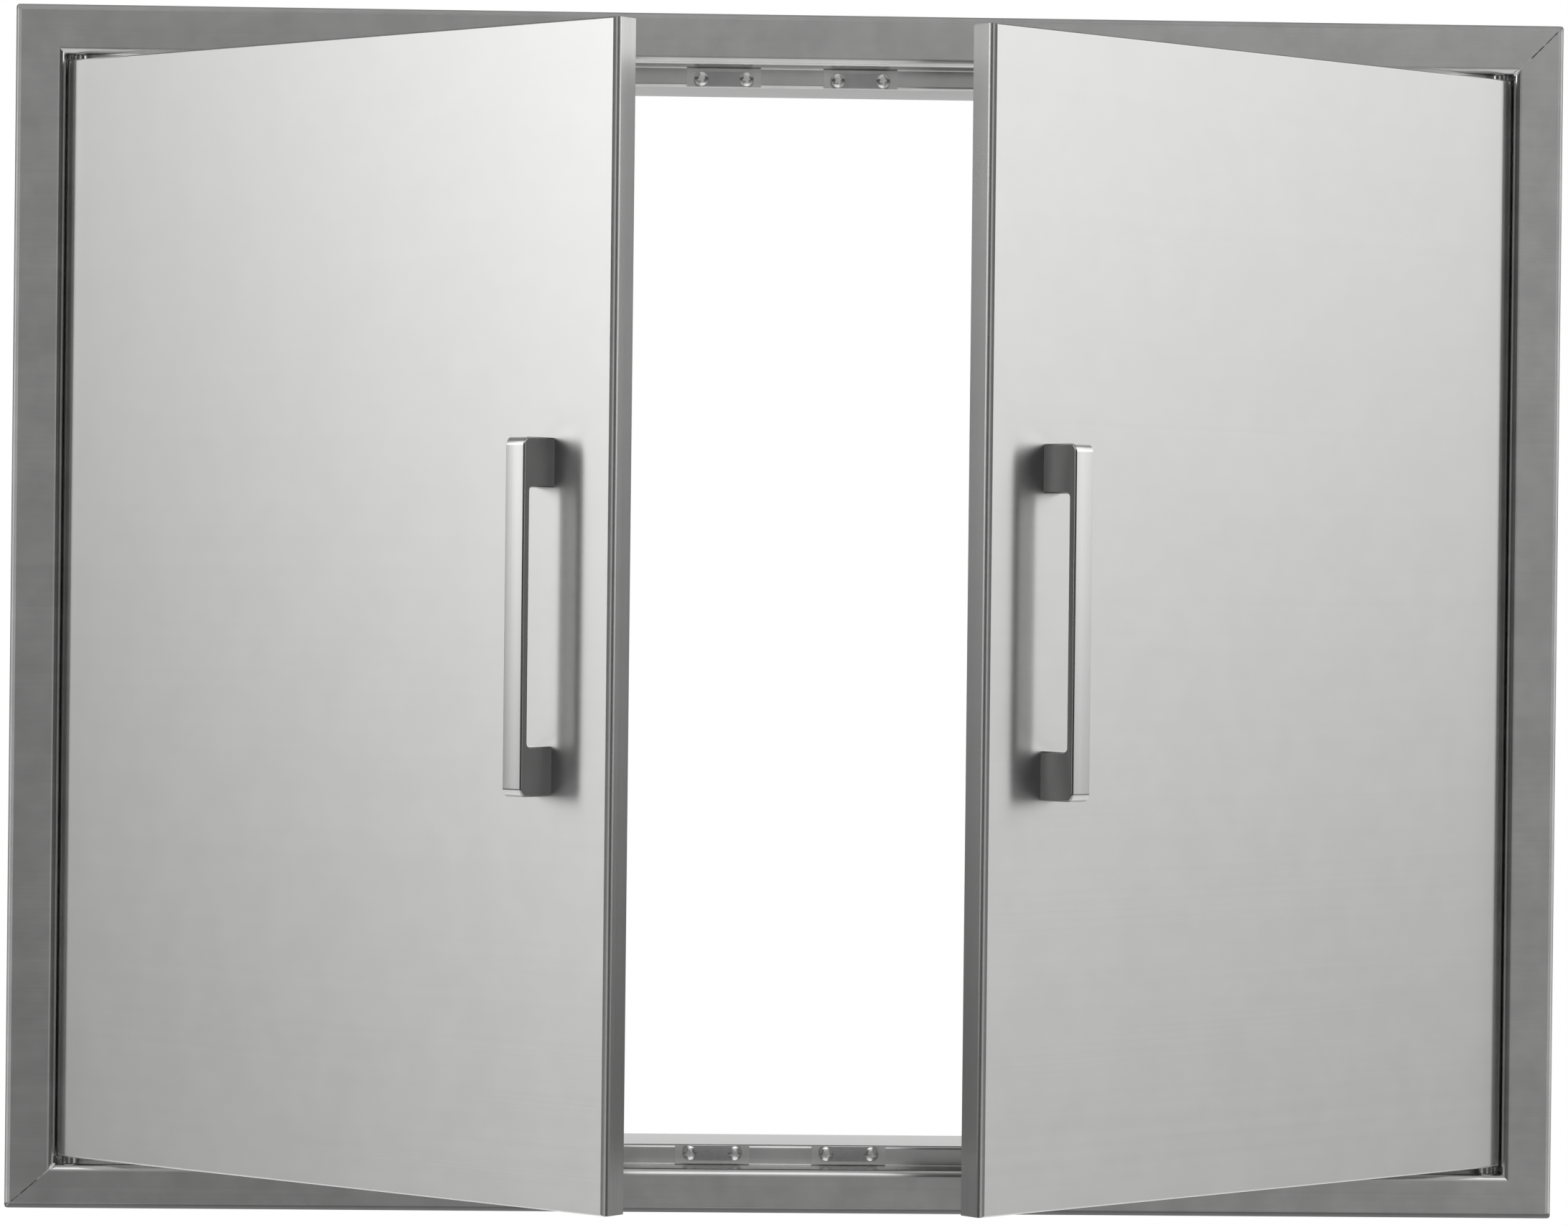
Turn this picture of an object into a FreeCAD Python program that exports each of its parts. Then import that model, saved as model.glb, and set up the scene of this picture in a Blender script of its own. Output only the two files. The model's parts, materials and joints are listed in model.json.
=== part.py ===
import FreeCAD
import Part
import Sketcher
import math
import os
import re

# Double access door for an outdoor kitchen island, folded from brushed stainless sheet.
# A face frame with a sleeve that goes into the island's wall carries two hinged doors.
# Origin: centre of the frame's outline, on the wall plane that the frame's lip rests on.
# +X is to the right, -Y faces the user and +Z is up. Lengths are millimetres.

# Driving dimensions: alias, value, meaning

DIMENSIONS = [
    ("frame_wide", 787.4, "face frame, outside width"),
    ("frame_high", 609.6, "face frame, outside height"),
    ("side_flange", 25.2, "face width at the sides, edge to opening"),
    ("top_flange", 25.4, "face width at the top"),
    ("bottom_flange", 22.4, "face width at the bottom"),
    ("frame_sheet", 1.2, "thickness of the frame's sheet"),
    ("face_bend", 2.5, "outer radius of the bend between face and return lip"),
    ("jamb_bend", 3.7, "outer radius of the bend between face and jamb"),
    ("frame_corner", 2.2, "radius of the frame's outer corners, filed after welding"),
    ("stop_bend", 0.6, "inner radius of the bends at the stop"),
    ("lip_deep", 8.0, "face to wall plane, depth of the return lip"),
    ("stop_deep", 21.0, "face to the front of the door stop"),
    ("stop_high", 10.1, "opening to sleeve, height of the door stop"),
    ("sleeve_deep", 51.0, "front of the stop to the sleeve's rear edge"),
    ("seam_gap", 0.3, "open seam between the two halves of the frame"),
    ("fixing_hole", 5.0, "diameter of the screw holes in the sleeve"),
    ("fixing_spacing", 400.0, "height between the two screw holes of a side"),
    ("fixing_setback", 20.0, "screw hole to the sleeve's rear edge"),
    ("left_open", 40.0, "angle of the left door in the rest pose"),
    ("right_open", 39.0, "angle of the right door in the rest pose"),
    ("side_gap", 1.5, "jamb to the hinge edge of a closed door"),
    ("centre_gap", 3.0, "between the two closed doors"),
    ("top_gap", 2.4, "jamb to the top of a door"),
    ("bottom_gap", 3.6, "bottom of a door to the jamb"),
    ("door_recess", 1.0, "frame's face to the face of a closed door"),
    ("door_deep", 13.2, "depth of the door's pan"),
    ("door_sheet", 1.0, "thickness of the door's sheet"),
    ("door_bend", 3.0, "outer radius of the door's upright bends"),
    ("door_edge", 1.0, "outer radius of the bends along the door's top and bottom"),
    ("return_wide", 16.0, "width of the pan's return flange"),
    ("liner_sheet", 1.0, "thickness of the door's back sheet"),
    ("liner_margin", 1.2, "edge of the door to the edge of its back sheet"),
    ("pivot_inset", 5.5, "hinge edge of the door to the pivot axis"),
    ("pivot_setback", 5.5, "face of the door to the pivot axis"),
    ("pin_shank", 5.0, "diameter of the pivot pin"),
    ("pin_reach", 6.5, "length of the pin inside the door"),
    ("bush_wall", 0.6, "wall of the pivot bush"),
    ("bush_long", 7.0, "length of the pivot bush inside the door"),
    ("bush_flange", 7.6, "diameter of the bush's flange, seen in the gap"),
    ("running_fit", 0.05, "radial clearance of the pins and bushes in their holes"),
    ("bush_play", 0.2, "end play between a bush's flange and the jamb"),
    ("handle_long", 167.5, "overall height of the handle"),
    ("handle_wide", 11.8, "width of the handle's bar"),
    ("handle_reach", 21.6, "door face to the front of the handle"),
    ("handle_bar", 4.6, "thickness of the handle's bar"),
    ("handle_post", 23.3, "height of each post of the handle"),
    ("handle_outer", 4.0, "outer corner radius of the handle"),
    ("handle_inner", 2.0, "inner corner radius of the handle"),
    ("handle_break", 0.8, "chamfer along the handle's edges"),
    ("handle_inset", 41.5, "free edge of the door to the middle of the handle"),
    ("catch_offset", 35.0, "centre line to the middle of a catch"),
    ("catch_plate_wide", 38.0, "width of a catch's carrier plate"),
    ("catch_plate_high", 9.2, "height of a catch's carrier plate"),
    ("catch_plate_thick", 0.8, "thickness of a catch's carrier plate"),
    ("magnet_long", 30.5, "length of the magnet bar"),
    ("magnet_high", 7.5, "height of the magnet bar"),
    ("magnet_thick", 3.2, "thickness of the magnet bar"),
    ("catch_margin", 0.2, "sleeve's face to the edge of the plate and the magnet"),
    ("catch_pitch", 23.0, "between the two screw holes of a catch"),
    ("catch_hole", 3.2, "diameter of its screw holes"),
    ("strike_thick", 1.0, "thickness of a strike plate"),
    ("strike_wide", 38.0, "width of a strike plate"),
    ("strike_high", 8.0, "height of a strike plate"),
    ("strike_margin", 2.2, "edge of the door to the edge of a strike plate"),
    ("liner_corner", 2.0, "corner radius of the back sheet"),
]

doc = FreeCAD.newDocument("access_door")
sheet = doc.addObject("Spreadsheet::Sheet", "Sheet")
for row, (alias, value, meaning) in enumerate(DIMENSIONS, start=1):
    sheet.set("A%d" % row, meaning)
    sheet.set("B%d" % row, str(value))
    sheet.setAlias("B%d" % row, alias)
doc.recompute()

ALIASES = {alias for alias, value, meaning in DIMENSIONS}


def bound(text):
    """The formula with each alias written as a cell of the sheet."""
    return re.sub(r"[a-z_]+", lambda m: ("Sheet." if m.group() in ALIASES else "") + m.group(), text)


def number(text):
    """The value that a formula has now."""
    return float(sheet.evalExpression(text))


# What comes twice: at the left and the right, above and below

SIDES = (("left", -1), ("right", 1))
LEVELS = (("upper", 1), ("lower", -1))

# Places that several pieces share, as formulas

OPENING_TOP = "(frame_high / 2 - top_flange)"
OPENING_BOTTOM = "(frame_high / 2 - bottom_flange)"
STOP_FRONT = "(stop_deep - lip_deep)"
SLEEVE_REAR = "(stop_deep - lip_deep + sleeve_deep)"
DOOR_WIDE = "((frame_wide - 2 * side_flange - 2 * side_gap - centre_gap) / 2)"
DOOR_TOP = "(frame_high / 2 - top_flange - top_gap)"
DOOR_BOTTOM = "(frame_high / 2 - bottom_flange - bottom_gap)"
PIVOT_X = "(frame_wide / 2 - side_flange - side_gap - pivot_inset)"
PIVOT_Y = "(door_recess + pivot_setback - lip_deep)"
FREE_EDGE = "(" + DOOR_WIDE + " - pivot_inset)"
DOOR_REAR = "(door_deep - pivot_setback)"
HANDLE_X = "(" + FREE_EDGE + " - handle_inset)"
HANDLE_MIDDLE = "((" + OPENING_TOP + " - " + OPENING_BOTTOM + ") / 2)"
STRIKE_X = "(" + PIVOT_X + " - catch_offset)"
LINER_BACK = "(" + DOOR_REAR + " + liner_sheet)"
BUSH_HOLE = "pin_shank + 2 * bush_wall + 4 * running_fit"
PIN_HOLE = "pin_shank + 2 * running_fit"


# Sketches

def new_body(name):
    body = doc.addObject("PartDesign::Body", name)
    body.Label = name
    return body


def new_sketch(body, role, offset="0"):
    """A sketch on one of the body's origin planes, moved along the plane's normal."""
    plane = [feature for feature in body.Origin.OriginFeatures if feature.Role == role][0]
    sketch = body.newObject("Sketcher::SketchObject", body.Name + "_sketch")
    sketch.AttachmentSupport = [(plane, "")]
    sketch.MapMode = "FlatFace"
    sketch.setExpression("AttachmentOffset.Base.z", bound(offset))
    return sketch


def dimension(sketch, kind, formula, *places):
    """Adds one dimension and ties it to its formula."""
    index = sketch.addConstraint(Sketcher.Constraint(kind, *places, number(formula)))
    sketch.setExpression("Constraints[%d]" % index, bound(formula))


def locate(sketch, geometry, point, x, y):
    """Places a point of the sketch from the sketch's origin."""
    dimension(sketch, "DistanceX", x, -1, 1, geometry, point)
    dimension(sketch, "DistanceY", y, -1, 1, geometry, point)


def square_outline(sketch, corners):
    """Closed outline of level and upright lines through corners (x, y, radius or None)."""
    points = [FreeCAD.Vector(number(x), number(y), 0) for x, y, radius in corners]
    radii = [number(radius) if radius else 0.0 for x, y, radius in corners]
    count = len(points)
    ways = []
    for i in range(count):
        ways.append((points[(i + 1) % count] - points[i]).normalize())
    lines = []
    for i in range(count):
        start = points[i] + ways[i] * radii[i]
        end = points[(i + 1) % count] - ways[i] * radii[(i + 1) % count]
        lines.append(sketch.addGeometry(Part.LineSegment(start, end)))
        level = abs(ways[i].x) > abs(ways[i].y)
        sketch.addConstraint(Sketcher.Constraint("Horizontal" if level else "Vertical", lines[i]))
        place = corners[i][1] if level else corners[i][0]
        dimension(sketch, "DistanceY" if level else "DistanceX", place, -1, 1, lines[i], 1)
    for i in range(count):
        before = lines[i - 1]
        after = lines[i]
        if not radii[i]:
            sketch.addConstraint(Sketcher.Constraint("Coincident", before, 2, after, 1))
            continue
        way_in = ways[i - 1]
        way_out = ways[i]
        centre = points[i] + (way_out - way_in) * radii[i]
        entry = points[i] - way_in * radii[i] - centre
        leave = points[i] + way_out * radii[i] - centre
        left_turn = way_in.cross(way_out).z > 0
        first, last = (entry, leave) if left_turn else (leave, entry)
        circle = Part.Circle(centre, FreeCAD.Vector(0, 0, 1), radii[i])
        angle_first = math.atan2(first.y, first.x)
        angle_last = math.atan2(last.y, last.x)
        arc = sketch.addGeometry(Part.ArcOfCircle(circle, angle_first, angle_last))
        sketch.addConstraint(Sketcher.Constraint("Tangent", before, 2, arc, 1 if left_turn else 2))
        sketch.addConstraint(Sketcher.Constraint("Tangent", arc, 2 if left_turn else 1, after, 1))
        dimension(sketch, "Radius", corners[i][2], arc)


def centred_rectangle(sketch, x, y, width, height):
    near_x, far_x = [x + " + " + signed(way, width + " / 2") for way in (-1, 1)]
    low, high = [y + " + " + signed(way, height + " / 2") for way in (-1, 1)]
    square_outline(sketch, [(near_x, low, None), (far_x, low, None),
                            (far_x, high, None), (near_x, high, None)])


def polygon(sketch, corners):
    """Closed outline of straight lines through corners (x, y)."""
    points = [FreeCAD.Vector(number(x), number(y), 0) for x, y in corners]
    for i, (x, y) in enumerate(corners):
        line = sketch.addGeometry(Part.LineSegment(points[i], points[(i + 1) % len(points)]))
        locate(sketch, line, 1, x, y)
    for i in range(len(corners)):
        sketch.addConstraint(Sketcher.Constraint("Coincident", i, 2, (i + 1) % len(corners), 1))


def circles(sketch, centres, diameter):
    for x, y in centres:
        centre = FreeCAD.Vector(number(x), number(y), 0)
        circle = Part.Circle(centre, FreeCAD.Vector(0, 0, 1), number(diameter) / 2)
        index = sketch.addGeometry(circle)
        locate(sketch, index, 3, x, y)
        dimension(sketch, "Diameter", diameter, index)


def obround(sketch, x, y, length, width):
    """A slot shape that lies along the sketch's x axis."""
    half = "(" + length + " - " + width + ") / 2"
    ends = ["(" + x + ") - " + half, "(" + x + ") + " + half]
    radius = number(width) / 2
    turn = math.pi / 2
    arcs = []
    for end, start_angle in zip(ends, (turn, -turn)):
        circle = Part.Circle(FreeCAD.Vector(number(end), number(y), 0), FreeCAD.Vector(0, 0, 1), radius)
        arcs.append(sketch.addGeometry(Part.ArcOfCircle(circle, start_angle, start_angle + math.pi)))
    for sign in (1, -1):
        start = FreeCAD.Vector(number(ends[0]), number(y) + sign * radius, 0)
        end = FreeCAD.Vector(number(ends[1]), number(y) + sign * radius, 0)
        line = sketch.addGeometry(Part.LineSegment(start, end))
        sketch.addConstraint(Sketcher.Constraint("Tangent", arcs[0], 1 if sign > 0 else 2, line, 1))
        sketch.addConstraint(Sketcher.Constraint("Tangent", line, 2, arcs[1], 2 if sign > 0 else 1))
    for arc, end in zip(arcs, ends):
        locate(sketch, arc, 3, end, y)
    dimension(sketch, "Diameter", width, arcs[0])


# Features

def feature_from(body, sketch, kind, name):
    feature = body.newObject("PartDesign::" + kind, body.Name + "_" + name)
    feature.Profile = sketch
    sketch.Visibility = False
    return feature


def pad(body, sketch, length, opposite=None, middle=False, backward=False, name="pad"):
    feature = feature_from(body, sketch, "Pad", name)
    feature.setExpression("Length", bound(length))
    feature.Reversed = backward
    if middle:
        feature.SideType = "Symmetric"
    if opposite:
        feature.SideType = "Two sides"
        feature.setExpression("Length2", bound(opposite))
    return feature


def pocket(body, sketch, length=None, opposite=None, backward=False, name="pocket"):
    """A cut of the given length, or right through both ways where none is given."""
    feature = feature_from(body, sketch, "Pocket", name)
    feature.Reversed = backward
    if length is None:
        feature.Type = "ThroughAll"
        feature.SideType = "Symmetric"
        return feature
    feature.setExpression("Length", bound(length))
    if opposite:
        feature.SideType = "Two sides"
        feature.setExpression("Length2", bound(opposite))
    return feature


def revolve(body, corners, name="turned"):
    """A turned piece about the body's Z axis, from corners (radius, height)."""
    sketch = new_sketch(body, "XZ_Plane")
    square_outline(sketch, corners)
    feature = feature_from(body, sketch, "Revolution", name)
    feature.ReferenceAxis = (sketch, ["V_Axis"])
    feature.Angle = 360
    return feature


def edge_names(feature, wanted):
    """Names of the feature's edges whose sample points pass the test together."""
    names = []
    for index, edge in enumerate(feature.Shape.Edges, start=1):
        first, last = edge.ParameterRange
        points = [edge.valueAt(first + (last - first) * step / 4) for step in range(5)]
        if wanted(points):
            names.append("Edge%d" % index)
    return names


def dress(body, kind, base, size_name, size, wanted, name):
    """A fillet or chamfer along the chosen edges of the feature before it."""
    doc.recompute()
    feature = body.newObject("PartDesign::" + kind, body.Name + "_" + name)
    feature.Base = (base, edge_names(base, wanted))
    feature.setExpression(size_name, bound(size))
    return feature


def lies_at(points, axis, place):
    """True where all points have that coordinate."""
    return all(abs(getattr(point, axis) - place) < 0.001 for point in points)


def export_later(item):
    """Marks a finished piece of the object, which gets a file of its own."""
    pieces.append(item)
    return item


def signed(way, formula):
    return formula if way > 0 else "-(" + formula + ")"


pieces = []


# Face frame: four folded legs, joined into two L-shaped halves

class Leg:
    """One folded side of the frame, made along X and then turned about Y."""

    def __init__(self, name, half, run, flange, turn):
        self.half = half
        self.run = run
        self.flange = flange
        self.body = new_body(name)
        turned = "placement(vector(0; 0; 0); rotation(vector(0; 1; 0); %d))" % turn
        self.body.setExpression("Placement", turned)
        self.fold()

    def inward(self, distance):
        """Height in the leg's own frame of a line that far in from its outer edge."""
        return "-(" + self.half + ") + " + distance

    def fold(self):
        face = "-lip_deep"
        face_back = "frame_sheet - lip_deep"
        stop_back = STOP_FRONT + " + frame_sheet"
        opening = self.inward(self.flange)
        sleeve = opening + " + stop_high"
        outer_stop_bend = "stop_bend + frame_sheet"
        sketch = new_sketch(self.body, "YZ_Plane")
        square_outline(sketch, [
            ("0", self.inward("0"), None),
            (face, self.inward("0"), "face_bend"),
            (face, opening, "jamb_bend"),
            (STOP_FRONT, opening, "stop_bend"),
            (STOP_FRONT, sleeve, outer_stop_bend),
            (SLEEVE_REAR, sleeve, None),
            (SLEEVE_REAR, sleeve + " - frame_sheet", None),
            (stop_back, sleeve + " - frame_sheet", "stop_bend"),
            (stop_back, opening + " - frame_sheet", outer_stop_bend),
            (face_back, opening + " - frame_sheet", "jamb_bend - frame_sheet"),
            (face_back, self.inward("frame_sheet"), "face_bend - frame_sheet"),
            ("0", self.inward("frame_sheet"), None),
        ])
        pad(self.body, sketch, "2 * " + self.run, middle=True)

    def mitre(self, way, neighbour, gap="0"):
        """Cuts an end from corner to corner of the face, at 45 degrees wherever the sheet bends."""
        past = " + stop_high + frame_sheet"
        beyond = signed(way, self.run + " + 2 * face_bend")

        def across(distance):
            return signed(way, self.run + " - " + gap + " - (" + distance + ")")

        sketch = new_sketch(self.body, "XZ_Plane")
        polygon(sketch, [
            (across("-face_bend"), self.inward("(-face_bend)")),
            (across("face_bend"), self.inward("face_bend")),
            (across(neighbour + " - jamb_bend"), self.inward(self.flange + " - jamb_bend")),
            (across(neighbour + past), self.inward(self.flange + past)),
            (beyond, self.inward(self.flange + past)),
            (beyond, self.inward("(-face_bend)")),
        ])
        pocket(self.body, sketch)

    def round_corners(self):
        """Trims both ends to the rounded outer corners of the frame."""
        sketch = new_sketch(self.body, "XZ_Plane")
        for margin, corner in (("face_bend", None), ("0", "frame_corner")):
            low = self.inward("-" + margin)
            high = "-(" + low + ")"
            near_x = "-(" + self.run + ") - " + margin
            far_x = self.run + " + " + margin
            square_outline(sketch, [(near_x, low, corner), (far_x, low, corner),
                                    (far_x, high, corner), (near_x, high, corner)])
        pocket(self.body, sketch, name="corners")

    def drill_jamb(self):
        """Holes for the pivot pins."""
        sketch = new_sketch(self.body, "XY_Plane", self.inward(self.flange))
        centres = [(signed(way, PIVOT_X), PIVOT_Y) for way in (-1, 1)]
        circles(sketch, centres, PIN_HOLE)
        pocket(self.body, sketch, "frame_sheet")

    def drill_stop(self):
        """Holes for the screws of the catches."""
        sketch = new_sketch(self.body, "XZ_Plane")
        height = self.inward(self.flange + " + stop_high - catch_margin - magnet_high / 2")
        circles(sketch, [(x, height) for x in CATCH_HOLES_X], "catch_hole")
        pocket(self.body, sketch)

    def drill_sleeve(self):
        """Holes for the screws that fix the frame in the island."""
        sketch = new_sketch(self.body, "XY_Plane", self.inward(self.flange + " + stop_high"))
        depth = SLEEVE_REAR + " - fixing_setback"
        circles(sketch, [(signed(way, "fixing_spacing / 2"), depth) for way in (-1, 1)], "fixing_hole")
        pocket(self.body, sketch, "frame_sheet")


def frame_half(name, first, second):
    half = doc.addObject("Part::Fuse", name)
    half.Label = name
    half.Base = first.body
    half.Tool = second.body
    half.Refine = True
    return export_later(half)


def build_frame():
    wide = "frame_wide / 2"
    high = "frame_high / 2"
    seam = "seam_gap / 2"
    bottom = Leg("bottom_leg", high, wide, "bottom_flange", 0)
    bottom.mitre(1, "side_flange")
    bottom.mitre(-1, "side_flange", seam)
    top = Leg("top_leg", high, wide, "top_flange", 180)
    top.mitre(1, "side_flange")
    top.mitre(-1, "side_flange", seam)
    left = Leg("left_leg", wide, high, "side_flange", 90)
    left.mitre(1, "bottom_flange", seam)
    left.mitre(-1, "top_flange")
    right = Leg("right_leg", wide, high, "side_flange", -90)
    right.mitre(1, "top_flange", seam)
    right.mitre(-1, "bottom_flange")
    for leg in (bottom, top, left, right):
        leg.round_corners()
    for leg in (bottom, top):
        leg.drill_jamb()
        leg.drill_stop()
    for leg in (left, right):
        leg.drill_sleeve()
    frame_half("frame_upper_left_half", left, top)
    frame_half("frame_lower_right_half", right, bottom)


# Magnetic catches on the stop, two above and two below

CATCH_HOLES_X = [signed(side, "catch_offset") + " + " + signed(way, "catch_pitch / 2")
                 for side in (-1, 1) for way in (-1, 1)]
PLATE_FRONT = "(" + STOP_FRONT + " - catch_plate_thick)"


def sleeve_level(upper):
    """Height of the sleeve's inner face above or below the opening."""
    return "(" + signed(upper, (OPENING_TOP if upper > 0 else OPENING_BOTTOM) + " - stop_high") + ")"


def catch_level(upper, height):
    """Middle height of a catch piece whose edge lies by the sleeve's inner face."""
    return sleeve_level(upper) + " + " + signed(upper, "catch_margin + " + height + " / 2")


def build_catch(ending, upper, side):
    """A carrier plate on the stop and a magnet bar on the plate, with holes for two screws."""
    middle = signed(side, "catch_offset")
    holes = [(middle + " + " + signed(way, "catch_pitch / 2"), catch_level(upper, "magnet_high"))
             for way in (-1, 1)]
    plate = new_body("catch_plate_" + ending)
    sketch = new_sketch(plate, "XZ_Plane", "-" + STOP_FRONT)
    level = catch_level(upper, "catch_plate_high")
    centred_rectangle(sketch, middle, level, "catch_plate_wide", "catch_plate_high")
    circles(sketch, holes, "catch_hole")
    pad(plate, sketch, "catch_plate_thick")
    export_later(plate)
    magnet = new_body("catch_magnet_" + ending)
    sketch = new_sketch(magnet, "XZ_Plane", "-" + PLATE_FRONT)
    obround(sketch, middle, catch_level(upper, "magnet_high"), "magnet_long", "magnet_high")
    circles(sketch, holes, "catch_hole")
    pad(magnet, sketch, "magnet_thick")
    export_later(magnet)


# Pivot pins, pressed into the jambs

def build_pin(side_name, side, level_name, upper):
    body = new_body(side_name + "_pivot_pin_" + level_name)
    gap = "top_gap" if upper > 0 else "bottom_gap"
    sketch = new_sketch(body, "XY_Plane")
    circles(sketch, [("0", "0")], "pin_shank")
    pad(body, sketch, gap + " + pin_reach", opposite="frame_sheet")
    jamb = OPENING_TOP if upper > 0 else "-" + OPENING_BOTTOM
    place = "vector(" + signed(side, PIVOT_X) + "; " + PIVOT_Y + "; " + jamb + ")"
    turn = 180 if upper > 0 else 0
    body.setExpression("Placement", bound("placement(%s; rotation(vector(1; 0; 0); %d))" % (place, turn)))
    export_later(body)


class Door:
    """A door in its own frame: pivot axis at the origin, face towards -Y, as if closed."""

    def __init__(self, name, side, open_angle):
        self.name = name
        self.side = side
        turn = signed(side, open_angle)
        place = "vector(" + signed(side, PIVOT_X) + "; " + PIVOT_Y + "; 0)"
        self.placement = bound("placement(" + place + "; rotation(vector(0; 0; 1); " + turn + "))")

    def along(self, distance):
        """X of a point that far from the pivot axis towards the free edge."""
        return signed(-self.side, distance)

    def body(self, name):
        body = new_body(self.name + "_" + name)
        body.setExpression("Placement", self.placement)
        return body

    def rectangle(self, sketch, margin, corner=None):
        """The door's outline seen from the front, drawn in by a margin."""
        near_x = self.along("-pivot_inset + " + margin)
        far_x = self.along(FREE_EDGE + " - " + margin)
        low = "-" + DOOR_BOTTOM + " + " + margin
        high = DOOR_TOP + " - " + margin
        square_outline(sketch, [(near_x, low, corner), (far_x, low, corner),
                                (far_x, high, corner), (near_x, high, corner)])

    def section(self, sketch, margin, bend):
        """The pan's level section, drawn in by a margin on every side."""
        near_x = self.along("-pivot_inset + " + margin)
        far_x = self.along(FREE_EDGE + " - " + margin)
        front = "-pivot_setback + " + margin
        back = DOOR_REAR + " - " + margin
        square_outline(sketch, [(near_x, back, None), (near_x, front, bend),
                                (far_x, front, bend), (far_x, back, None)])

    def upright_section(self, sketch, margin, bend=None):
        """The pan's section seen from the side, drawn out by a margin on every side."""
        front = "-pivot_setback - " + margin
        back = DOOR_REAR + " + " + margin
        low = "-" + DOOR_BOTTOM + " - " + margin
        high = DOOR_TOP + " + " + margin
        square_outline(sketch, [(back, low, None), (front, low, bend),
                                (front, high, bend), (back, high, None)])

    def build_pan(self):
        """Front skin with its four walls and return flanges, folded from one sheet."""
        body = self.body("outer_pan")
        sketch = new_sketch(body, "XY_Plane")
        self.section(sketch, "0", "door_bend")
        pad(body, sketch, DOOR_TOP, opposite=DOOR_BOTTOM, name="block")
        sketch = new_sketch(body, "YZ_Plane")
        self.upright_section(sketch, "0", "door_edge")
        self.upright_section(sketch, "door_edge")
        pocket(body, sketch, name="level_bends")
        sketch = new_sketch(body, "XZ_Plane", "-" + DOOR_REAR)
        self.rectangle(sketch, "return_wide")
        pocket(body, sketch, "door_sheet", backward=True, name="window")
        sketch = new_sketch(body, "XY_Plane")
        self.section(sketch, "door_sheet", "door_bend - door_sheet")
        below = DOOR_BOTTOM + " - door_sheet"
        above = DOOR_TOP + " - door_sheet"
        pocket(body, sketch, below, opposite=above, name="inside")
        sketch = new_sketch(body, "XY_Plane")
        circles(sketch, [("0", "0")], BUSH_HOLE)
        pocket(body, sketch, name="pivots")
        export_later(body)

    def build_liner(self):
        """Back sheet that closes the pan, spot-welded to its flanges."""
        body = self.body("back_liner")
        sketch = new_sketch(body, "XZ_Plane", "-" + DOOR_REAR)
        self.rectangle(sketch, "liner_margin", "liner_corner")
        pad(body, sketch, "liner_sheet", backward=True)
        export_later(body)

    def build_strike(self, level_name, upper):
        """Steel plate on the back, which a magnet holds."""
        body = self.body("strike_plate_" + level_name)
        edge = DOOR_TOP if upper > 0 else DOOR_BOTTOM
        level = signed(upper, edge + " - strike_margin - strike_high / 2")
        sketch = new_sketch(body, "XZ_Plane", "-" + LINER_BACK)
        centred_rectangle(sketch, self.along(STRIKE_X), level, "strike_wide", "strike_high")
        pad(body, sketch, "strike_thick", backward=True)
        export_later(body)

    def build_bush(self, level_name, upper):
        """Bush in an end of the door, whose thick flange spaces the door from the jamb."""
        bore = "(pin_shank / 2 + running_fit)"
        outside = "(pin_shank / 2 + running_fit + bush_wall)"
        flange = ("top_gap" if upper > 0 else "bottom_gap") + " - bush_play"
        body = new_body(self.name + "_pivot_bush_" + level_name)
        revolve(body, [
            (bore, "-bush_long", None),
            (outside, "-bush_long", None),
            (outside, "0", None),
            ("bush_flange / 2", "0", None),
            ("bush_flange / 2", flange, None),
            (bore, flange, None),
        ])
        edge = DOOR_TOP if upper > 0 else DOOR_BOTTOM
        turn = 0 if upper > 0 else 180
        seat = "placement(vector(0; 0; %s); rotation(vector(1; 0; 0); %d))" % (signed(upper, edge), turn)
        body.setExpression("Placement", self.placement + " * " + bound(seat))
        export_later(body)

    def build_handle(self):
        """Flat bar and two posts in one D-shaped piece that stands on the face."""
        body = self.body("handle")
        foot = "-pivot_setback"
        front = "-pivot_setback - handle_reach"
        bar_back = front + " + handle_bar"
        high = HANDLE_MIDDLE + " + handle_long / 2"
        low = HANDLE_MIDDLE + " - handle_long / 2"
        sketch = new_sketch(body, "YZ_Plane", self.along(HANDLE_X))
        square_outline(sketch, [
            (foot, high, None),
            (front, high, "handle_outer"),
            (front, low, "handle_outer"),
            (foot, low, None),
            (foot, low + " + handle_post", None),
            (bar_back, low + " + handle_post", "handle_inner"),
            (bar_back, high + " - handle_post", "handle_inner"),
            (foot, high + " - handle_post", None),
        ])
        bar = pad(body, sketch, "handle_wide", middle=True)
        middle = number(self.along(HANDLE_X))
        half = number("handle_wide / 2")
        foot_y = number(foot)

        def long_edge(points):
            beside = any(lies_at(points, "x", middle + way * half) for way in (-1, 1))
            return beside and not lies_at(points, "y", foot_y)

        dress(body, "Chamfer", bar, "Size", "handle_break", long_edge, "edges")
        export_later(body)

    def build(self):
        self.build_pan()
        self.build_liner()
        self.build_handle()
        for level_name, upper in LEVELS:
            self.build_strike(level_name, upper)
            self.build_bush(level_name, upper)


build_frame()
for level_name, upper in LEVELS:
    for side_name, side in SIDES:
        build_catch(level_name + "_" + side_name, upper, side)
        build_pin(side_name, side, level_name, upper)
for side_name, side in SIDES:
    Door(side_name + "_door", side, side_name + "_open").build()
doc.recompute()

# Every object is checked before any file is written

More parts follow.
